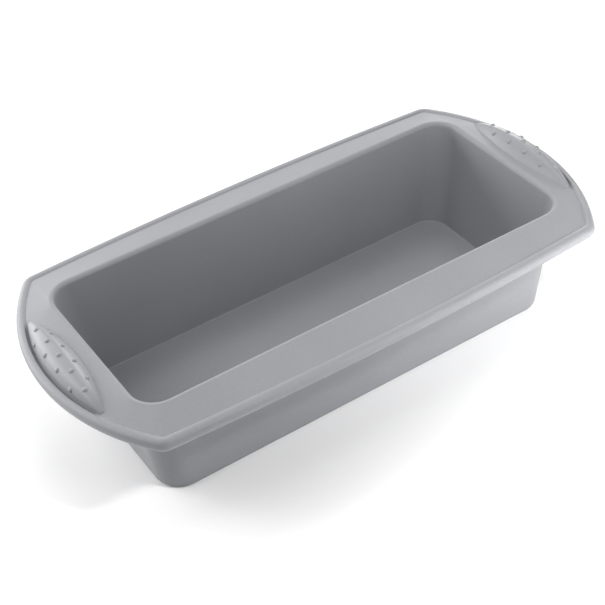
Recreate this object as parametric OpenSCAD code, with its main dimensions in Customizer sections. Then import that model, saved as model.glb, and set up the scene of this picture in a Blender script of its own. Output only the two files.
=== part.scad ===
// Silicone loaf pan with a sloping flange, a round edge bead and two textured end grips.
// Millimetres. The base lies on z = 0, centred on the origin, with the long way along X.

/* [Overall] */
// Length over the bead, grip to grip
overall_length = 280; // [272:1:320]
// Width over the bead at the middle of the long sides
overall_width = 140; // [130:1:170]
// Height of the mouth's edge above the table
mouth_height = 59.5; // [42:0.5:80]
// Thickness of the silicone in the floor, walls and flange
skin = 1.5; // [1:0.1:2]

/* [Tub] */
// Length of the mouth between the end walls
mouth_length = 227; // [180:0.5:233]
// Width of the mouth between the long walls
mouth_width = 93.5; // [70:0.5:100]
// Radius of the mouth's four corners
mouth_corner = 12; // [8:0.5:20]
// How far each end wall leans in from the mouth to the floor
end_draft = 6.75; // [1:0.25:10]
// How far each long wall leans in from the mouth to the floor
side_draft = 3; // [1:0.25:10]
// Radius of the inside corners at the floor
floor_corner = 11.5; // [4:0.5:15]
// Radius where the walls turn into the flange
mouth_round = 2.6; // [2.4:0.1:4.5]
// Radius where the floor turns up into the walls, inside
floor_round = 0.5; // [0.5:0.5:3]

/* [Rim] */
// How far the flange falls from the mouth's edge to the bead
rim_drop = 3.8; // [0.5:0.1:6]
// How far the long sides bow out between the flange's corners
side_bow = 3.2; // [1:0.1:8]
// How far the ends bow out into grips
end_bow = 21.7; // [17:0.1:26]
// Radius of the flange's corners
flange_corner = 3.1; // [2.6:0.1:12]
// Radius of the bead's round section
bead_radius = 2.9; // [2.7:0.1:3.6]
// Depth of the bead's centre below the crease
bead_drop = 2.3; // [2.2:0.1:2.6]
// Diameter of the steel hoop moulded into the bead
hoop_diameter = 2.5; // [1.5:0.1:3]

/* [Grips] */
// Length of a grip pad from tip to tip
pad_length = 71; // [60:1:74]
// Width of a grip pad at its middle
pad_width = 14.2; // [12.5:0.1:15]
// Radius of a pad's inner edge
pad_inner_radius = 120; // [105:1:160]
// Radius of a pad's two tips
tip_radius = 2.2; // [1:0.1:2.5]
// Height of a pad's crest above the flange
pad_height = 6.7; // [2:0.1:8]
// Place of the crest across the pad, from its inner edge to its outer edge
crest_place = 0.56; // [0.4:0.01:0.7]
// Distance from a pad's outer edge to the crease
groove = 0.5; // [0.3:0.1:0.8]
// Width of the channel beside a pad, from the pad's edge into the bead
channel_width = 1.5; // [1:0.1:1.6]
// Depth of the channel below the crease
channel_depth = 1; // [0.6:0.1:1.1]
// Diameter of a nub
nub_diameter = 2.4; // [1.5:0.1:3]
// Height of a nub above the pad
nub_height = 0.8; // [0.5:0.1:1.1]
// Distance between neighbouring nubs in a row
nub_pitch = 11.7; // [9:0.1:12]
// Distance between the rows
row_pitch = 4.15; // [3.2:0.05:4.5]
// Distance from the crease to the outer row
row_inset = 2.5; // [2.4:0.1:4]

/* [Hidden] */

silicone = "#9a9ca2";
steel = "#b9bcc0";

// The bead's centre line stands outside the crease where the bead leaves the flange's top.
bead_reach = sqrt(pow(bead_radius, 2) - pow(bead_drop, 2));
// The bead carries a narrow web of the flange's thickness, which the flange butts against.
web = bead_radius - bead_reach;

// The crease outline: two shallow side arcs, two end arcs and four corner arcs, all tangent.
half_length = overall_length / 2 - bead_reach - bead_radius;
half_width = overall_width / 2 - bead_reach - bead_radius;
side_radius = (pow(half_length - end_bow, 2) + pow(side_bow, 2)) / (2 * side_bow);
end_radius = (pow(half_width - side_bow, 2) + pow(end_bow, 2)) / (2 * end_bow);
side_centre = [0, half_width - side_radius];
end_centre = [half_length - end_radius, 0];
between = end_centre - side_centre;
spread = norm(between);
reach_side = side_radius - flange_corner;
reach_end = end_radius - flange_corner;
along = (pow(reach_side, 2) - pow(reach_end, 2) + pow(spread, 2)) / (2 * spread);
across = sqrt(pow(reach_side, 2) - pow(along, 2));
corner_centre = side_centre + (along * between + across * [between.y, -between.x]) / spread;
// Directions, measured from +X, in which the three arcs of one quadrant meet.
end_turn = atan2(corner_centre.y, corner_centre.x - end_centre.x);
side_turn = atan2(corner_centre.y - side_centre.y, corner_centre.x);
// Directions in which the loops' stations change from the long runs to the corner.
end_split = 0.53 * end_turn;
side_split = acos(0.64 * half_length / side_radius);

// Stations round one quadrant of every loop, so that the flange's loops match the mouth's.
end_steps = 7;
near_steps = 2;
turn_steps = 5;
side_steps = 6;
corner_steps = 2 * near_steps + turn_steps;

// Points along an arc, the first one left out
function arc(centre, radius, from, to, steps) =
    [for (i = [1:steps]) let (a = from + (to - from) * i / steps)
        centre + radius * [cos(a), sin(a)]];

// Points along a straight line, the first one left out
function line(from, to, steps) = [for (i = [1:steps]) from + (to - from) * i / steps];

function last_left_out(points) = [for (i = [0:len(points) - 2]) points[i]];
function reversed(points) = [for (i = [len(points) - 1:-1:0]) points[i]];
function mirrored(points, mx, my) = [for (p = points) [p.x * mx, p.y * my]];

// A closed loop from the points of its first quadrant, which begin after [start_x, 0]
function full_loop(start_x, quadrant) = concat(
    quadrant,
    reversed(mirrored(last_left_out(quadrant), -1, 1)),
    [[-start_x, 0]],
    mirrored(quadrant, -1, -1),
    reversed(mirrored(last_left_out(quadrant), 1, -1)),
    [[start_x, 0]]);

// The crease outline moved outwards by grow
function outline(grow) = full_loop(half_length + grow, concat(
    arc(end_centre, end_radius + grow, 0, end_split, end_steps),
    arc(end_centre, end_radius + grow, end_split, end_turn, near_steps),
    arc(corner_centre, flange_corner + grow, end_turn, side_turn, turn_steps),
    arc(side_centre, side_radius + grow, side_turn, side_split, near_steps),
    arc(side_centre, side_radius + grow, side_split, 90, side_steps)));

// A rectangle with round corners
function round_rectangle(half_x, half_y, radius) = full_loop(half_x, concat(
    line([half_x, 0], [half_x, half_y - radius], end_steps),
    arc([half_x - radius, half_y - radius], radius, 0, 90, corner_steps),
    line([half_x - radius, half_y], [0, half_y], side_steps)));

function raised(loop, z) = [for (p = loop) [p.x, p.y, z]];

// How far up its draft a wall is at height z: 0 at the floor, 1 just under the mouth
function draft_place(z) = min(1, max(0, (z - skin) / (mouth_height - 2 * skin)));

// A ring of the tub at height z: the inner wall face moved outwards by grow
function tub_ring(z, grow) =
    let (up = draft_place(z),
         half_x = mouth_length / 2 - end_draft * (1 - up) + grow,
         half_y = mouth_width / 2 - side_draft * (1 - up) + grow,
         radius = floor_corner + (mouth_corner - floor_corner) * up + grow)
    raised(round_rectangle(half_x, half_y, radius), z);

// The floor plate ends where the inside rounding starts.
plate_x = mouth_length / 2 - end_draft - floor_round;
plate_y = mouth_width / 2 - side_draft - floor_round;
plate_corner = floor_corner - floor_round;

// The rounding over the mouth runs on past level until it slopes down like the flange.
slope = atan(rim_drop / (half_length - mouth_length / 2 - mouth_round));
round_steps = 6;
quarter = [for (i = [0:round_steps]) 90 * i / round_steps];
turns = concat(quarter, [90 + slope]);
under_round = floor_round + skin;
over_round = mouth_round - skin;
round_level = mouth_height - mouth_round;

// Rings of the wall's section: up the outside and out under the flange, back over the mouth's
// rounding, down the inside and round into the floor.
wall_rings = concat(
    [for (a = quarter)
        tub_ring(under_round * (1 - cos(a)), under_round * sin(a) - floor_round)],
    [for (a = turns)
        tub_ring(round_level + over_round * sin(a), mouth_round - over_round * cos(a))],
    [for (a = reversed(turns))
        tub_ring(round_level + mouth_round * sin(a), mouth_round * (1 - cos(a)))],
    [for (a = reversed(quarter))
        tub_ring(skin + floor_round * (1 - cos(a)), floor_round * (sin(a) - 1))]);
// The two rings at the wall's outer end, where the flange meets it
end_under = wall_rings[len(quarter) + len(turns) - 1];
end_top = wall_rings[len(quarter) + len(turns)];

// A solid through rings of equal length. A loop joins its last ring to its first;
// otherwise both end rings are closed with flat caps.
module loft(rings, loop) {
    count = len(rings[0]);
    total = len(rings);
    sides = [for (r = [0:total - (loop ? 1 : 2)], i = [0:count - 1])
        let (j = (i + 1) % count, s = (r + 1) % total)
        [r * count + i, s * count + i, s * count + j, r * count + j]];
    first_cap = [for (i = [0:count - 1]) i];
    last_cap = [for (i = [count - 1:-1:0]) (total - 1) * count + i];
    polyhedron([for (ring = rings) for (p = ring) p],
               loop ? sides : concat(sides, [first_cap, last_cap]),
               convexity = 6);
}

module tub_floor() {
    color(silicone)
        linear_extrude(skin)
            polygon(round_rectangle(plate_x, plate_y, plate_corner));
}

module tub_walls() {
    color(silicone)
        loft(wall_rings, loop = true);
}

// The crease lies in one level plane; the flange's top reaches the bead's web a little above it.
rim_level = mouth_height - rim_drop;
web_rise = web * tan(slope);

module rim_flange() {
    color(silicone)
        loft([end_under,
              raised(outline(-web), rim_level + web_rise - skin),
              raised(outline(-web), rim_level + web_rise),
              end_top],
             loop = true);
}

// Loops round the outline, one through each point of a section; the section's x runs outwards
// from the crease and its y up from the crease.
function rim_loops(section) = [for (p = section) raised(outline(p.x), rim_level + p.y)];

// Points round the bead's centre, from one direction to another
function bead_arc(radius, from, to, steps) =
    [for (i = [0:steps]) let (a = from + (to - from) * i / steps)
        [bead_reach + radius * cos(a), -bead_drop + radius * sin(a)]];

// The bead's section: from the flange's underside round the outside to the crease, then the
// flat end of the web
bead_start = 180 - asin((bead_drop - skin) / bead_radius);
bead_end = 540 - asin(bead_drop / bead_radius);
bead_section = concat(bead_arc(bead_radius, bead_start, bead_end, 20),
                      [[-web, web_rise], [-web, web_rise - skin]]);
hoop_steps = 10;
hoop_section = last_left_out(bead_arc(hoop_diameter / 2, 0, 360, hoop_steps));

module bead_body() {
    loft(rim_loops(bead_section), loop = true);
}

// A channel with a round bottom runs beside the right-hand pad, between its edge and the bead.
channel_turn = asin((pad_length / 2 - 2) / end_radius);
channel_section = concat(
    [for (i = [0:8])
        let (a = 180 + 180 * i / 8)
        [channel_width / 2 * (1 + cos(a)) - groove,
         (channel_depth - 0.15) * sin(a) - 0.15]],
    [[channel_width - groove, 2], [-groove, 2]]);
module channel() {
    translate([end_centre.x, 0, rim_level])
        rotate([0, 0, -channel_turn])
            rotate_extrude(angle = 2 * channel_turn, $fn = 180)
                translate([end_radius, 0])
                    polygon(channel_section);
}

module rim_bead() {
    color(silicone)
        difference() {
            bead_body();
            loft(rim_loops(hoop_section), loop = true);
            channel();
            mirror([1, 0, 0])
                channel();
        }
}

module rim_hoop() {
    color(steel)
        loft(rim_loops(hoop_section), loop = true);
}

// Height of the flange's top face at the right-hand end
mouth_end = mouth_length / 2 + mouth_round;
function crease_x(y) = end_centre.x + sqrt(pow(end_radius, 2) - pow(y, 2));
function flange_top(x, y) = mouth_height - rim_drop * (x - mouth_end) / (crease_x(y) - mouth_end);

// The pad fills the lens between the groove along the bead and an inner arc, with round tips.
pad_edge = end_radius - groove;
pad_inner_x = half_length - groove - pad_width;
function pad_outer(y) = end_centre.x + sqrt(pow(pad_edge, 2) - pow(y, 2));
function pad_inner(y) =
    pad_inner_x + pad_inner_radius - sqrt(pow(pad_inner_radius, 2) - pow(y, 2));
function pad_centre(y) = (pad_outer(y) + pad_inner(y)) / 2;
// How far y is past the start of a tip's rounding, as a share of the tip's radius
function tip_share(y) = max(0, (abs(y) - pad_length / 2) / tip_radius + 1);
function tip_round(y) = sqrt(1 - pow(tip_share(y), 2));
function pad_half(y) =
    min((pad_outer(y) - pad_inner(y)) / 2, tip_share(y) > 0 ? tip_radius * tip_round(y) : pad_width);

// Height of the pad above the flange: a rise from its inner edge to the crest, then a fuller
// shoulder down to the groove. v runs from 0 at the inner edge to 1 at the groove.
shoulder = 2.4;
function pad_section(v) = v < crest_place
    ? sin(90 * max(0, v) / crest_place)
    : pow(max(0, 1 - pow((v - crest_place) / (1 - crest_place), shoulder)), 1 / shoulder);
function pad_crest(y) = pad_height * pow(2 * pad_half(y) / pad_width, 0.7)
    * sqrt(1 - pow(abs(2 * y / pad_length), 6));
function pad_rise(x, y) =
    pad_crest(y) * pad_section((x - pad_centre(y)) / (2 * pad_half(y)) + 0.5);
function pad_top(x, y) = flange_top(x, y) + pad_rise(x, y);

// One section across the pad at y, closer stations towards both edges; its bottom lies inside
// the flange and the bead, which are cut out of it.
pad_columns = 16;
pad_sink = 0.6;
function pad_ring(y) = concat(
    [for (j = [0:pad_columns])
        let (x = pad_centre(y) - cos(180 * j / pad_columns) * pad_half(y))
        [x, y, pad_top(x, y)]],
    [for (j = [pad_columns:-1:0])
        let (x = pad_centre(y) - cos(180 * j / pad_columns) * pad_half(y))
        [x, y, flange_top(x, y) - pad_sink]]);

// The right-hand pad, blunt by tip_gap at its two tips
pad_rows = 32;
tip_gap = 0.05;
module pad() {
    difference() {
        loft([for (i = [0:pad_rows])
                 pad_ring(-cos(180 * i / pad_rows) * (pad_length / 2 - tip_gap))],
             loop = false);
        rim_flange();
        bead_body();
    }
}

module grip_pad_right() {
    color(silicone)
        pad();
}

module grip_pad_left() {
    color(silicone)
        mirror([1, 0, 0])
            pad();
}

// A nub is a low dome that stands square to the pad's surface; its root is cut to that surface.
nub_root = 0.8;
nub_sphere = (pow(nub_diameter / 2, 2) + pow(nub_height, 2)) / (2 * nub_height);
dome_angle = asin(nub_diameter / 2 / nub_sphere);
nub_section = concat(
    [[0, -nub_root], [nub_diameter / 2, -nub_root]],
    [for (i = [0:8])
        let (a = dome_angle * (1 - i / 8))
        [nub_sphere * sin(a), nub_height - nub_sphere * (1 - cos(a))]]);
probe = 0.1;
module nub(x, y) {
    slope_x = (pad_top(x + probe, y) - pad_top(x - probe, y)) / (2 * probe);
    slope_y = (pad_top(x, y + probe) - pad_top(x, y - probe)) / (2 * probe);
    translate([x, y, pad_top(x, y)])
        rotate([atan(slope_y), -atan(slope_x), 0])
            rotate_extrude($fn = 32)
                polygon(nub_section);
}

// Rows of nubs along the right-hand pad, staggered by half a pitch
nubs_in_row = [4, 5, 4];
module nubs() {
    difference() {
        for (row = [0:2], i = [0:nubs_in_row[row] - 1])
            nub(half_length - row_inset - row * row_pitch,
                (i - (nubs_in_row[row] - 1) / 2) * nub_pitch);
        pad();
    }
}

module grip_nubs_right() {
    color(silicone)
        nubs();
}

module grip_nubs_left() {
    color(silicone)
        mirror([1, 0, 0])
            nubs();
}

tub_floor();
tub_walls();
rim_flange();
rim_bead();
rim_hoop();
grip_pad_left();
grip_pad_right();
grip_nubs_left();
grip_nubs_right();
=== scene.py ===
import math

import bpy
import numpy as np
from mathutils import Matrix, Vector


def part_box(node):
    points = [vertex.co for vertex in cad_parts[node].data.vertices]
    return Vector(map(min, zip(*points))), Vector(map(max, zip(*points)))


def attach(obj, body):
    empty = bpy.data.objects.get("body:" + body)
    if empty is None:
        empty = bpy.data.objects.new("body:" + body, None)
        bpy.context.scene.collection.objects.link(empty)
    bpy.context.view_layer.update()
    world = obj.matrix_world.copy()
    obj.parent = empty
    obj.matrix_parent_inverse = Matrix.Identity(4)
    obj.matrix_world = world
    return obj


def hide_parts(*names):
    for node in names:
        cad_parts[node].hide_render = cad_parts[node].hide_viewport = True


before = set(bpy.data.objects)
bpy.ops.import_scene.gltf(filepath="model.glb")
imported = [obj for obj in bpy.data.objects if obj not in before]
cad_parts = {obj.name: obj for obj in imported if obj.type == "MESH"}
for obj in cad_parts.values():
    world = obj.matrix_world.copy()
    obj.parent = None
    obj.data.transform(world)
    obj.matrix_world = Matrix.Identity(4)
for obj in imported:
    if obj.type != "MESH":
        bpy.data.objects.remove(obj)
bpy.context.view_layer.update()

MM = 0.001


# ---------------------------------------------------------------- design values, millimetres
def box_mm(name):
    """Lowest and highest corner of a CAD node, in millimetres."""
    low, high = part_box(name)
    return [c / MM for c in low], [c / MM for c in high]


floor_high = box_mm("tub_floor")[1]
flange_high = box_mm("rim_flange")[1]
pad_low = box_mm("grip_pad_right")[0]

skin = floor_high[2]
mouth_height = box_mm("tub_walls")[1][2]

# Tub: the mouth, the lean of its walls and its roundings.
mouth_corner = 12.0
end_draft = 6.75
side_draft = 3.0
floor_corner = 11.5
mouth_round = 2.0
floor_round = 0.5
half_mouth_x = floor_high[0] + end_draft + floor_round
half_mouth_y = floor_high[1] + side_draft + floor_round

# Rim: the flange falls to the crease, along which the round edge bead leaves it. The mould's
# parting line is a low ridge on the bead, at a turn and with a spread in degrees.
rim_drop = 3.8
rim_level = mouth_height - rim_drop
bead_radius = 2.9
bead_drop = 2.3
hoop_radius = 1.25
parting_ridge = 0.22
parting_turn = 308
parting_spread = 7
bead_reach = math.sqrt(bead_radius**2 - bead_drop**2)
web = bead_radius - bead_reach
half_length = flange_high[0] + web
half_width = flange_high[1] + web
side_bow = 3.2
end_bow = 21.7
flange_corner = 3.1

# The long arcs of the sides and the ends, and the small arc that touches both from inside.
side_radius = ((half_length - end_bow) ** 2 + side_bow**2) / (2 * side_bow)
end_radius = ((half_width - side_bow) ** 2 + end_bow**2) / (2 * end_bow)
side_centre = np.array([0.0, half_width - side_radius])
end_centre = np.array([half_length - end_radius, 0.0])
between = end_centre - side_centre
spread = float(np.hypot(*between))
reach_side = side_radius - flange_corner
reach_end = end_radius - flange_corner
along = (reach_side**2 - reach_end**2 + spread**2) / (2 * spread)
across = math.sqrt(reach_side**2 - along**2)
square_to = np.array([between[1], -between[0]])
corner_centre = side_centre + (along * between + across * square_to) / spread
end_turn = math.degrees(math.atan2(corner_centre[1], corner_centre[0] - end_centre[0]))
side_turn = math.degrees(math.atan2(corner_centre[1] - side_centre[1], corner_centre[0]))

# Grips: a pad between the channel along the bead and an inner arc, and the nubs on it. The powers
# say how square the channel's section is, and how the pad's crest falls where the pad narrows and
# at its tips.
groove = 0.5
channel_width = 1.5
channel_middle = 0.25
channel_depth = 1.0
channel_power = 4
channel_fade = 4
pad_end = 35.5
tip_radius = 2.2
pad_inner_radius = 120.0
pad_height = 6.7
crest_place = 0.56
shoulder = 2.4
crest_power = 0.7
tip_power = 6
pad_sink = 0.4
tip_gap = 0.02
nub_radius = 1.2
nub_height = 0.8
nub_sink = 0.45
nub_pitch = 11.7
row_pitch = 4.15
row_inset = 2.5
nubs_in_row = (4, 5, 4)
nub_sphere = (nub_radius**2 + nub_height**2) / (2 * nub_height)
mouth_end = half_mouth_x + mouth_round
pad_edge = end_radius - groove
pad_inner_x = pad_low[0]
pad_width = half_length - groove - pad_inner_x

# Stations round one quadrant of every loop, so that neighbouring pieces share their points.
# A rim loop's corner stations also cover a little of the end and of the side next to it: they
# begin past end_share of the end's turn, and stop at side_share of the half length.
END_STEPS, NEAR_STEPS, TURN_STEPS, SIDE_STEPS = 24, 8, 20, 36
CORNER_STEPS = 2 * NEAR_STEPS + TURN_STEPS
end_share = 0.53
side_share = 0.64
end_split = end_share * end_turn
side_split = math.degrees(math.acos(side_share * half_length / side_radius))

# Steps along the sections.
ROUND_STEPS, WALL_STEPS, PLATE_STEPS, BEAD_STEPS, HOOP_STEPS = 12, 13, 12, 96, 24
PAD_ROWS, PAD_COLUMNS = 128, 48
NUB_SIDES, NUB_RINGS = 32, 10


# ---------------------------------------------------------------- loops
def arc(centre, radius, start, end, steps):
    """Points along an arc, the first one left out; directions in degrees."""
    turns = np.radians(np.linspace(start, end, steps + 1)[1:])
    return np.stack([centre[0] + radius * np.cos(turns), centre[1] + radius * np.sin(turns)], 1)


def line(start, end, steps):
    """Points along a straight line, the first one left out."""
    share = np.linspace(0, 1, steps + 1)[1:, None]
    return np.asarray(start) * (1 - share) + np.asarray(end) * share


def full_loop(start_x, quadrant):
    """A closed loop from the points of its first quadrant, which end on the Y axis."""
    back = quadrant[-2::-1]
    return np.concatenate([[[start_x, 0.0]], quadrant, back * [-1, 1],
                           [[-start_x, 0.0]], -quadrant, back * [1, -1]])


def rim_loop(grow):
    """The crease outline moved outwards by grow."""
    return full_loop(half_length + grow, np.concatenate([
        arc(end_centre, end_radius + grow, 0, end_split, END_STEPS),
        arc(end_centre, end_radius + grow, end_split, end_turn, NEAR_STEPS),
        arc(corner_centre, flange_corner + grow, end_turn, side_turn, TURN_STEPS),
        arc(side_centre, side_radius + grow, side_turn, side_split, NEAR_STEPS),
        arc(side_centre, side_radius + grow, side_split, 90, SIDE_STEPS)]))


def round_rectangle(half_x, half_y, radius):
    """A rectangle with round corners, at the same stations as the rim's loops."""
    return full_loop(half_x, np.concatenate([
        line((half_x, 0), (half_x, half_y - radius), END_STEPS),
        arc((half_x - radius, half_y - radius), radius, 0, 90, CORNER_STEPS),
        line((half_x - radius, half_y), (0, half_y), SIDE_STEPS)]))


def at_height(loop, z):
    """The loop's points with their height."""
    return np.column_stack([loop, np.full(len(loop), float(z))])


def tub_ring(z, grow):
    """The inner wall face's loop at height z, moved outwards by grow."""
    up = min(1.0, max(0.0, (z - skin) / (mouth_height - 2 * skin)))
    return at_height(round_rectangle(half_mouth_x - end_draft * (1 - up) + grow,
                                     half_mouth_y - side_draft * (1 - up) + grow,
                                     floor_corner + (mouth_corner - floor_corner) * up + grow), z)


# ---------------------------------------------------------------- meshes
def make_piece(name, points, faces, material, sharp=()):
    """A smooth-shaded object from points in millimetres; sharp lists edges as point pairs."""
    mesh = bpy.data.meshes.new(name)
    mesh.from_pydata((np.asarray(points) * MM).tolist(), [], faces)
    mesh.validate()
    mesh.polygons.foreach_set("use_smooth", [True] * len(mesh.polygons))
    if len(sharp):
        wanted = {tuple(sorted(e)) for e in sharp}
        flags = [tuple(sorted(e.vertices)) in wanted for e in mesh.edges]
        mesh.attributes.new("sharp_edge", "BOOLEAN", "EDGE").data.foreach_set("value", flags)
    mesh.materials.append(material)
    piece = bpy.data.objects.new(name, mesh)
    bpy.context.scene.collection.objects.link(piece)
    return piece


def loft_faces(rings, count, closed, first=0):
    """Quads between neighbouring rings of count points each."""
    faces = []
    for r in range(rings if closed else rings - 1):
        low, high = first + r * count, first + ((r + 1) % rings) * count
        for i in range(count):
            j = (i + 1) % count
            faces.append((low + i, high + i, high + j, low + j))
    return faces


def ring_edges(rings, count, first=0):
    """The edges along whole rings, given by their numbers."""
    return [(first + r * count + i, first + r * count + (i + 1) % count)
            for r in rings for i in range(count)]


def flipped(faces):
    """The faces turned to look the other way."""
    return [tuple(reversed(f)) for f in faces]


# ---------------------------------------------------------------- materials
SILICONE_DARK = (0.222, 0.2245, 0.2385, 1)
SILICONE_LIGHT = (0.242, 0.2445, 0.2595, 1)
SILICONE_ROUGHNESS = (0.56, 0.66)
STEEL_DARK = (0.42, 0.43, 0.45, 1)
STEEL_LIGHT = (0.58, 0.58, 0.59, 1)
STEEL_ROUGHNESS = (0.26, 0.44)

SPECK_TONE = (0.965, 1.03)

# How fine the patterns are: scales of the noise over metres. Most of its values lie in the span.
CLOUDS, RIPPLE, GLOSS_PATCHES, SPECKS, GRAIN = 14, 34, 45, 1100, 2600
STEEL_CLOUDS, STEEL_PATCHES, STEEL_SCRATCHES = 160, 420, 5200
NOISE_SPAN = (0.3, 0.7)


def node(tree, kind, **values):
    """A new shader node with its properties or input sockets set by name."""
    made = tree.nodes.new(kind)
    for key, value in values.items():
        if hasattr(made, key):
            setattr(made, key, value)
        else:
            made.inputs[key.replace("_", " ")].default_value = value
    return made


def noise(tree, coordinates, scale, detail, roughness=0.5):
    """The value of a noise pattern over the coordinates."""
    made = node(tree, "ShaderNodeTexNoise", Scale=scale, Detail=detail, Roughness=roughness)
    tree.links.new(coordinates, made.inputs["Vector"])
    return made.outputs["Fac"]


def ranged(tree, value, low, high):
    """A noise value mapped from its span to low..high."""
    made = node(tree, "ShaderNodeMapRange")
    for key, number in zip(("From Min", "From Max", "To Min", "To Max"), (*NOISE_SPAN, low, high)):
        made.inputs[key].default_value = number
    tree.links.new(value, made.inputs["Value"])
    return made.outputs["Result"]


def new_material(name):
    """A new material, its node tree and shader, and the place on the object in metres."""
    material = bpy.data.materials.new(name)
    material.use_nodes = True
    tree = material.node_tree
    place = tree.nodes.new("ShaderNodeTexCoord").outputs["Object"]
    return material, tree, tree.nodes["Principled BSDF"], place


def mottled(tree, pattern, dark, light):
    """A colour that drifts between dark and light."""
    made = node(tree, "ShaderNodeMix", data_type="RGBA")
    made.inputs["A"].default_value = dark
    made.inputs["B"].default_value = light
    tree.links.new(ranged(tree, pattern, 0, 1), made.inputs["Factor"])
    return made.outputs["Result"]


def silicone(name, gloss=0.0, grain=1.0):
    """Matte grey silicone: cloudy tone, fine moulded grain and uneven gloss."""
    material, tree, shader, place = new_material(name)
    clouds = mottled(tree, noise(tree, place, CLOUDS, 3), SILICONE_DARK, SILICONE_LIGHT)
    dust = node(tree, "ShaderNodeMix", data_type="RGBA", blend_type="MULTIPLY")
    dust.inputs["Factor"].default_value = 1
    tree.links.new(clouds, dust.inputs["A"])
    specks = ranged(tree, noise(tree, place, SPECKS, 2), *SPECK_TONE)
    tree.links.new(specks, dust.inputs["B"])
    tree.links.new(dust.outputs["Result"], shader.inputs["Base Color"])

    smooth, coarse = SILICONE_ROUGHNESS
    rough = ranged(tree, noise(tree, place, GLOSS_PATCHES, 4), smooth - gloss, coarse - gloss)
    tree.links.new(rough, shader.inputs["Roughness"])
    shader.inputs["Specular IOR Level"].default_value = 0.42
    shader.inputs["Sheen Weight"].default_value = 0.12
    shader.inputs["Sheen Roughness"].default_value = 0.5

    ripple = node(tree, "ShaderNodeBump", Strength=0.35, Distance=0.00035)
    tree.links.new(noise(tree, place, RIPPLE, 2), ripple.inputs["Height"])
    grains = node(tree, "ShaderNodeBump", Strength=0.22 * grain, Distance=0.00004)
    tree.links.new(noise(tree, place, GRAIN, 3, 0.6), grains.inputs["Height"])
    tree.links.new(ripple.outputs["Normal"], grains.inputs["Normal"])
    tree.links.new(grains.outputs["Normal"], shader.inputs["Normal"])
    return material


def wire_steel(name):
    """Steel wire: a cloudy tone, patches of dull and bright, and fine scratches."""
    material, tree, shader, place = new_material(name)
    tint = mottled(tree, noise(tree, place, STEEL_CLOUDS, 5), STEEL_DARK, STEEL_LIGHT)
    tree.links.new(tint, shader.inputs["Base Color"])
    shader.inputs["Metallic"].default_value = 1
    rough = ranged(tree, noise(tree, place, STEEL_PATCHES, 3), *STEEL_ROUGHNESS)
    tree.links.new(rough, shader.inputs["Roughness"])
    scratches = node(tree, "ShaderNodeBump", Strength=0.3, Distance=0.00003)
    tree.links.new(noise(tree, place, STEEL_SCRATCHES, 2), scratches.inputs["Height"])
    tree.links.new(scratches.outputs["Normal"], shader.inputs["Normal"])
    return material


skin_floor = silicone("silicone_floor", gloss=0.02)
skin_walls = silicone("silicone_walls")
skin_flange = silicone("silicone_flange")
skin_bead = silicone("silicone_bead", gloss=0.1)
skin_pad = silicone("silicone_pad", gloss=0.18, grain=0.7)
skin_nub = silicone("silicone_nub", gloss=0.12, grain=0.7)
hoop_steel = wire_steel("wire_steel")

# ---------------------------------------------------------------- the tub
# The rounding over the mouth runs on past level until it slopes down like the flange, then a
# little way along it, so that the pieces meet where their surface is straight.
lap = 0.5
lap_share = 0.03
slope = math.atan(rim_drop / (half_length - mouth_end))
under_round = floor_round + skin
over_round = mouth_round - skin
round_level = mouth_height - mouth_round
quarter = np.radians(np.linspace(0, 90, ROUND_STEPS + 1))
turns = np.append(quarter, math.pi / 2 + slope * np.array([0.5, 1.0]))
wall_levels = np.linspace(0, 1, WALL_STEPS + 1)[1:-1]


def straight(start, end):
    """The places between two (height, grow) places of a wall, both left out."""
    return [(start[0] + s * (end[0] - start[0]), start[1] + s * (end[1] - start[1]))
            for s in wall_levels]


def section_rings(section):
    """The tub's loops at the section's (height, grow) places."""
    return [tub_ring(z, grow) for z, grow in section]


outer_round = [(under_round * (1 - math.cos(a)), under_round * math.sin(a) - floor_round)
               for a in quarter]
under_flange = [(round_level + over_round * math.sin(a), mouth_round - over_round * math.cos(a))
                for a in turns]
over_mouth = [(round_level + mouth_round * math.sin(a), mouth_round * (1 - math.cos(a)))
              for a in turns[::-1]]
into_floor = [(skin + floor_round * (1 - math.cos(a)), floor_round * (math.sin(a) - 1))
              for a in quarter[::-1]]

crease_ring = at_height(rim_loop(0), rim_level)
mouth_ring = tub_ring(*over_mouth[0])
COUNT = len(crease_ring)
below = np.array([0.0, 0.0, -skin])


def on_flange(share):
    """A loop on the flange's top, share of the way from the mouth's rounding to the crease."""
    share = np.reshape(share, (-1, 1))
    return mouth_ring * (1 - share) + crease_ring * share


outside = section_rings([(0.0, -floor_round - lap)] + outer_round
                        + straight(outer_round[-1], under_flange[0]) + under_flange)
inside = section_rings(over_mouth + straight(over_mouth[-1], into_floor[0]) + into_floor
                       + [(skin, -floor_round - lap)])
wall_rings = outside + [on_flange(lap_share) + below, on_flange(lap_share)] + inside
cut = len(outside)
tub_walls = make_piece(
    "tub_wall_panel", np.concatenate(wall_rings),
    flipped(loft_faces(len(wall_rings), COUNT, True)), skin_walls,
    ring_edges([0, cut, cut + 1, len(wall_rings) - 1], COUNT))

# The flat floor panel inside the walls' lower rounding.
panel = tub_ring(skin, -floor_round - lap)
tub_floor = make_piece(
    "floor_panel", np.concatenate([panel + below, panel]),
    flipped(loft_faces(2, COUNT, False)) + [tuple(range(COUNT - 1, -1, -1)),
                                            tuple(range(COUNT, 2 * COUNT))],
    skin_floor, ring_edges([0, 1], COUNT))

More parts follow.
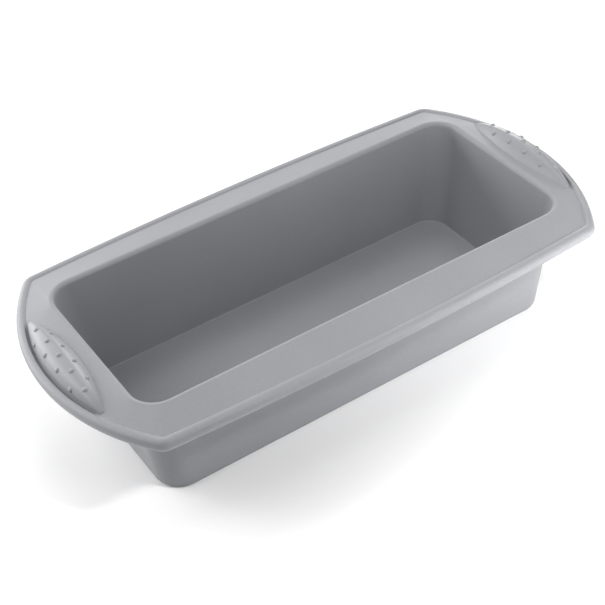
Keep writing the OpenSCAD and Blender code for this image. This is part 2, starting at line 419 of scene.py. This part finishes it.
# ---------------------------------------------------------------- the flange
# Its top runs straight from the mouth's rounding to the bead's web.
web_share = 1 - web / np.linalg.norm(crease_ring - mouth_ring, axis=1)
plate = [on_flange(lap_share * (1 - s) + web_share * s)
         for s in np.linspace(0, 1, PLATE_STEPS + 1)]
edge = len(plate)
rim_flange = make_piece(
    "flange", np.concatenate(plate + [p + below for p in plate[::-1]]),
    loft_faces(2 * edge, COUNT, True), skin_flange,
    ring_edges([0, edge - 1, edge, 2 * edge - 1], COUNT))


# ---------------------------------------------------------------- the bead and its hoop
def bead_arc(radius, start, end, steps, ridge=0.0):
    """Places round the bead's centre: (out from the crease, up from it); ridge is the height of
    the mould's parting line, low on the bead's outer side."""
    places = []
    for a in np.linspace(start, end, steps + 1):
        r = radius + ridge * math.exp(-((a - parting_turn) / parting_spread) ** 2)
        places.append((bead_reach + r * math.cos(math.radians(a)),
                       -bead_drop + r * math.sin(math.radians(a))))
    return places


def rim_rings(section):
    """The rim's loops at the section's places round the crease."""
    return [at_height(rim_loop(out), rim_level + up) for out, up in section]


bead_start = 180 - math.degrees(math.asin((bead_drop - skin) / bead_radius))
bead_end = 540 - math.degrees(math.asin(bead_drop / bead_radius))
bead_places = bead_arc(bead_radius, bead_start, bead_end, BEAD_STEPS, parting_ridge)
# More loops on the bead's web, out from the crease, for the inner side of the channel.
web_places = [-0.08, -0.16, -0.24, -0.33, -0.42, -0.5, -0.7]


def beside_pad(ring, out):
    """The ring, out from the crease, with the channel beside each pad pressed into it."""
    section = max(0.0, 1 - ((out - channel_middle) / (channel_width / 2)) ** channel_power)
    fade = np.clip((pad_end - np.abs(ring[:, 1])) / channel_fade, 0, 1)
    fade = fade * (np.abs(ring[:, 0]) > half_mouth_x)
    ring = ring.copy()
    ring[:, 2] -= channel_depth * section * np.sin(fade * np.pi / 2)
    return ring


bead_rings = []
for ring, (out, up) in zip(rim_rings(bead_places), bead_places):
    on_top = up > -bead_drop / 2 and out < channel_width
    bead_rings.append(beside_pad(ring, out) if on_top else ring)
for out in web_places:
    bead_rings.append(beside_pad(on_flange(1 + out * (1 - web_share) / web), out))
bead_rings += [on_flange(web_share), on_flange(web_share) + below]
hollow_rings = rim_rings(bead_arc(hoop_radius, 0, 360, HOOP_STEPS)[:-1])
bead_count = len(bead_rings)
rim_bead = make_piece(
    "edge_bead", np.concatenate(bead_rings + hollow_rings),
    flipped(loft_faces(bead_count, COUNT, True))
    + loft_faces(len(hollow_rings), COUNT, True, bead_count * COUNT),
    skin_bead, ring_edges([0, BEAD_STEPS, bead_count - 2, bead_count - 1], COUNT))
rim_hoop = make_piece("wire_hoop", np.concatenate(hollow_rings),
                      flipped(loft_faces(len(hollow_rings), COUNT, True)), hoop_steel)


# ---------------------------------------------------------------- the grips
def flange_top(x, y):
    """Height of the flange's top face at the right-hand end."""
    crease_x = end_centre[0] + np.sqrt(end_radius**2 - y**2)
    return mouth_height - rim_drop * (x - mouth_end) / (crease_x - mouth_end)


def pad_span(y):
    """Middle and half width of the pad at y."""
    outer = end_centre[0] + np.sqrt(pad_edge**2 - y**2)
    inner = pad_inner_x + pad_inner_radius - np.sqrt(pad_inner_radius**2 - y**2)
    past = max(0.0, (abs(y) - pad_end) / tip_radius + 1)
    half = (outer - inner) / 2
    if past > 0:
        half = min(half, tip_radius * math.sqrt(max(0.0, 1 - past**2)))
    return (outer + inner) / 2, half


def pad_section(v):
    """The pad's height across it: a rise to the crest, then a fuller shoulder."""
    rise = np.sin(np.pi / 2 * np.clip(v, 0, crest_place) / crest_place)
    down = np.clip((v - crest_place) / (1 - crest_place), 0, 1)
    return np.where(v < crest_place, rise, (1 - down**shoulder) ** (1 / shoulder))


def pad_top(x, y):
    """Height of the right-hand pad's top."""
    middle, half = pad_span(y)
    crest = pad_height * (2 * half / pad_width) ** crest_power
    crest = crest * math.sqrt(1 - (y / pad_end) ** tip_power)
    return flange_top(x, y) + crest * pad_section((x - middle) / (2 * half) + 0.5)


def pad_piece(name, side):
    """A closed pad: its crowned top, and a bottom sunk slightly into the flange."""
    top, bottom = [], []
    for y in -np.cos(np.linspace(0, np.pi, PAD_ROWS + 1)) * (pad_end - tip_gap):
        middle, half = pad_span(y)
        xs = middle - np.cos(np.linspace(0, np.pi, PAD_COLUMNS + 1)) * half
        top += [(side * x, y, z) for x, z in zip(xs, pad_top(xs, y))]
        bottom += [(side * x, y, flange_top(x, y) - pad_sink) for x in xs]
    base = len(top)
    width = PAD_COLUMNS + 1
    faces = []
    for r in range(PAD_ROWS):
        for c in range(PAD_COLUMNS):
            a = r * width + c
            faces.append((a, a + 1, a + width + 1, a + width))
            faces.append((base + a, base + a + width, base + a + width + 1, base + a + 1))
    border = (list(range(width))
              + [r * width + PAD_COLUMNS for r in range(1, PAD_ROWS + 1)]
              + [PAD_ROWS * width + c for c in range(PAD_COLUMNS - 1, -1, -1)]
              + [r * width for r in range(PAD_ROWS - 1, 0, -1)])
    sharp = []
    for a, b in zip(border, border[1:] + border[:1]):
        faces.append((a, base + a, base + b, b))
        sharp += [(a, b), (base + a, base + b)]
    return make_piece(name, top + bottom, flipped(faces) if side < 0 else faces, skin_pad, sharp)


def nub_points(x, y):
    """One low dome, square to the pad's surface at (x, y)."""
    probe = 0.1
    slope_x = (pad_top(x + probe, y) - pad_top(x - probe, y)) / (2 * probe)
    slope_y = (pad_top(x, y + probe) - pad_top(x, y - probe)) / (2 * probe)
    lean, tip = math.atan(slope_x), math.atan(slope_y)
    tilt = Matrix.Rotation(-lean, 3, "Y") @ Matrix.Rotation(tip, 3, "X")
    base = Vector((x, y, float(pad_top(x, y))))
    low = math.acos((nub_sphere - nub_height - nub_sink) / nub_sphere)
    dome = []
    for level in np.linspace(low, 0, NUB_RINGS + 1)[:-1]:
        height = nub_height - nub_sphere + nub_sphere * math.cos(level)
        for k in range(NUB_SIDES):
            turn = 2 * math.pi * k / NUB_SIDES
            dome.append(Vector((nub_sphere * math.sin(level) * math.cos(turn),
                                nub_sphere * math.sin(level) * math.sin(turn), height)))
    dome.append(Vector((0, 0, nub_height)))
    return [base + tilt @ p for p in dome]


def nubs_piece(name, side):
    """The staggered rows of nubs on one pad, each nub a closed shell."""
    points, faces, sharp = [], [], []
    for row, number in enumerate(nubs_in_row):
        for i in range(number):
            x = half_length - row_inset - row * row_pitch
            y = (i - (number - 1) / 2) * nub_pitch
            first = len(points)
            points += [(side * p.x, p.y, p.z) for p in nub_points(x, y)]
            dome = flipped(loft_faces(NUB_RINGS, NUB_SIDES, False, first))
            top = first + NUB_RINGS * NUB_SIDES
            last = first + (NUB_RINGS - 1) * NUB_SIDES
            dome += [(last + k, last + (k + 1) % NUB_SIDES, top) for k in range(NUB_SIDES)]
            dome.append(tuple(first + k for k in range(NUB_SIDES - 1, -1, -1)))
            faces += flipped(dome) if side < 0 else dome
            sharp += ring_edges([0], NUB_SIDES, first)
    return make_piece(name, points, faces, skin_nub, sharp)


grips = {}
for word, side in (("left", -1), ("right", 1)):
    grips["grip_pad_" + word] = pad_piece("pad_" + word, side)
    grips["grip_nubs_" + word] = nubs_piece("nubs_" + word, side)

# ---------------------------------------------------------------- pieces and their CAD nodes
pieces = {"tub_floor": tub_floor, "tub_walls": tub_walls, "rim_flange": rim_flange,
          "rim_bead": rim_bead, **grips, "rim_hoop": rim_hoop}
for cad_node, piece in pieces.items():
    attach(piece, "root")
    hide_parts(cad_node)


# ---------------------------------------------------------------- floor, light and camera
def stage_floor():
    """A pale, dull ground that the pan stands on."""
    mesh = bpy.data.meshes.new("stage_floor")
    reach = 12.0
    corners = [(-reach, -reach, 0), (reach, -reach, 0), (reach, reach, 0), (-reach, reach, 0)]
    mesh.from_pydata(corners, [], [(0, 1, 2, 3)])
    material = bpy.data.materials.new("stage_floor")
    material.use_nodes = True
    shader = material.node_tree.nodes["Principled BSDF"]
    shader.inputs["Base Color"].default_value = (0.9, 0.9, 0.9, 1)
    shader.inputs["Roughness"].default_value = 0.9
    shader.inputs["Specular IOR Level"].default_value = 0.1
    mesh.materials.append(material)
    floor = bpy.data.objects.new("stage_floor", mesh)
    bpy.context.scene.collection.objects.link(floor)


def softbox(name, place, aim, width, height, power):
    """A rectangular light at place that faces aim; measures in metres, power in watts."""
    data = bpy.data.lights.new(name, "AREA")
    data.shape = "RECTANGLE"
    data.size, data.size_y = width, height
    data.energy = power
    lamp = bpy.data.objects.new(name, data)
    lamp.location = place
    lamp.rotation_mode = "QUATERNION"
    lamp.rotation_quaternion = (Vector(aim) - Vector(place)).to_track_quat("-Z", "Y")
    lamp.visible_camera = False
    bpy.context.scene.collection.objects.link(lamp)


stage_floor()
# The studio: large boxes behind, above and beside the pan, one that catches the left grip, a
# small high one in front, and two low ones that brighten the front wall towards the right.
centre = (0, 0, 0.05)
left_pad = (-0.12, 0, 0.06)
front_wall = (0.05, -0.05, 0.04)
wall_right = (0.08, -0.05, 0.04)
wall_foot = (0.06, -0.05, 0.03)
softbox("back_left", (-0.32, 0.68, 0.22), centre, 0.5, 0.35, 3.37)
softbox("left_low", (-0.69, 0.69, 0.26), centre, 0.35, 0.35, 2.5)
softbox("back_right", (0.69, 0.69, 0.26), centre, 0.35, 0.35, 3.64)
softbox("back", (0, 0.82, 0.62), centre, 0.35, 0.35, 1.57)
softbox("top_right", (0.37, 0.37, 0.9), centre, 0.35, 0.35, 2.79)
softbox("top", (0, -0.03, 1.05), centre, 0.35, 0.35, 1.19)
softbox("left", (-0.82, 0, 0.62), centre, 0.35, 0.35, 0.85)
softbox("left_grip", (-0.32, 0.1, 0.3), left_pad, 0.2, 0.2, 0.62)
softbox("front", (0.105, -0.364, 0.488), front_wall, 0.05, 0.05, 1.3)
softbox("front_low", (0.12, -0.25, 0.12), wall_right, 0.15, 0.15, 0.37)
softbox("front_corner", (0.15, -0.14, 0.04), wall_foot, 0.08, 0.08, 0.09)

world = bpy.data.worlds.new("studio")
bpy.context.scene.world = world
world.use_nodes = True
sky = world.node_tree.nodes["Background"]
sky.inputs["Color"].default_value = (1, 1, 1, 1)
sky.inputs["Strength"].default_value = 0.2
bpy.context.scene.view_settings.view_transform = "Standard"

# The camera's place round a target on the plane of the mouth's edge, and the turn of its picture.
azimuth, elevation, roll = (math.radians(d) for d in (-31.03, 40.59, -4.263))
distance = 0.607
target = Vector((-0.02482, -0.03089, mouth_height * MM))
back = Vector((math.sin(azimuth) * math.cos(elevation), -math.cos(azimuth) * math.cos(elevation),
               math.sin(elevation)))
level = Vector((math.cos(azimuth), math.sin(azimuth), 0))
upward = back.cross(level)
rolled = math.cos(roll) * level + math.sin(roll) * upward
camera_data = bpy.data.cameras.new("camera")
camera_data.sensor_width = 36
camera_data.lens = 81.78
camera_data.clip_start, camera_data.clip_end = 0.01, 50
camera = bpy.data.objects.new("camera", camera_data)
camera.matrix_world = Matrix.Translation(target + back * distance) @ Matrix(
    (rolled, back.cross(rolled), back)).transposed().to_4x4()
bpy.context.scene.collection.objects.link(camera)
bpy.context.scene.camera = camera
